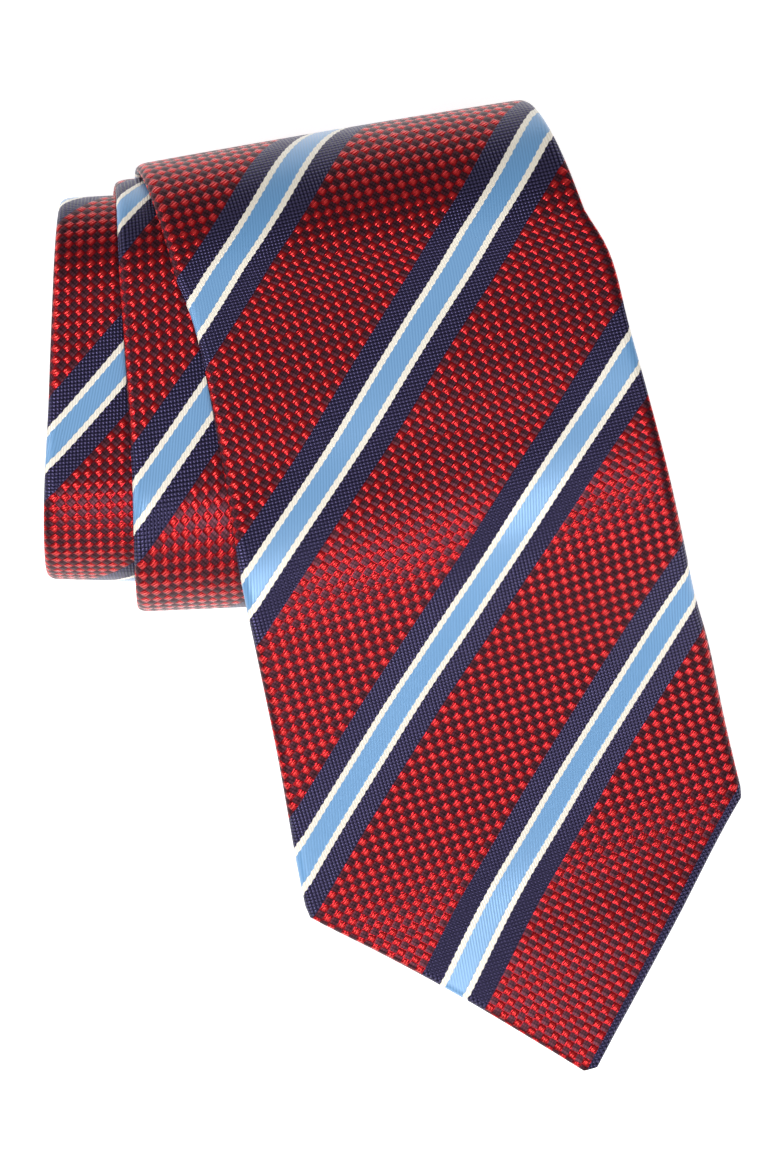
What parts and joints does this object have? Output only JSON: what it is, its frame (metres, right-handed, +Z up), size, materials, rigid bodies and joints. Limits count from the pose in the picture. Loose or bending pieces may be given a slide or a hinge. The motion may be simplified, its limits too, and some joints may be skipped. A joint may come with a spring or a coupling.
{
  "type": "necktie",
  "caption": "Striped silk necktie rolled up for display, with its wide pointed end lying free on the roll; the wide end lifts.",
  "frame": {"origin": "on the table under the middle of the whole rolled tie", "axes": "+Z up from the table, +Y from the wide point towards the crest of the roll, +X to the right as the tie is seen from above with its point at the bottom"},
  "size_m": [0.1386, 0.1954, 0.0508],
  "materials": {
    "striped_silk": "woven silk: red checker ground with navy, ivory and light blue diagonal stripes, soft lustre",
    "wool_canvas": "brushed wool interlining, matte",
    "tipping_satin": "plain navy satin, smooth lustre",
    "sewing_thread": "twisted silk thread, low lustre",
    "label_weave": "fine woven satin label, blank"
  },
  "bodies": {
    "roll": {"wide_panel_rolled": "striped_silk", "neck_panel": "striped_silk", "tail_panel": "striped_silk", "wide_piecing_seam": "striped_silk", "tail_piecing_seam": "striped_silk", "wide_canvas_rolled": "wool_canvas", "canvas_joint_stitch": "sewing_thread", "tail_canvas": "wool_canvas", "tail_lining": "tipping_satin", "tail_bar_tack": "sewing_thread", "wide_panel_seam_thread": "sewing_thread", "neck_seam_thread": "sewing_thread", "tail_seam_thread": "sewing_thread"},
    "wide_end": {"wide_blade_sleeve": "striped_silk", "wide_blade_canvas": "wool_canvas", "wide_blade_lining": "tipping_satin", "blade_hem_thread_left": "sewing_thread", "blade_hem_thread_right": "sewing_thread", "blade_bar_tack": "sewing_thread", "blade_seam_thread": "sewing_thread", "keeper_loop": "striped_silk", "blank_label": "label_weave", "care_tag": "label_weave", "loop_tack_left": "sewing_thread", "loop_tack_right": "sewing_thread", "label_stitch_lower_left": "sewing_thread", "label_stitch_upper_left": "sewing_thread", "label_stitch_lower_right": "sewing_thread", "label_stitch_upper_right": "sewing_thread", "care_tag_stitch": "sewing_thread"}
  },
  "joints": [
    {"name": "wide_end_lift", "type": "hinge", "parent": "roll", "child": "wide_end", "pos_m": [-0.00313, 0.06767, 0.0505], "axis": [-0.9863, -0.1652, 0], "range_deg": [0, 70]}
  ]
}
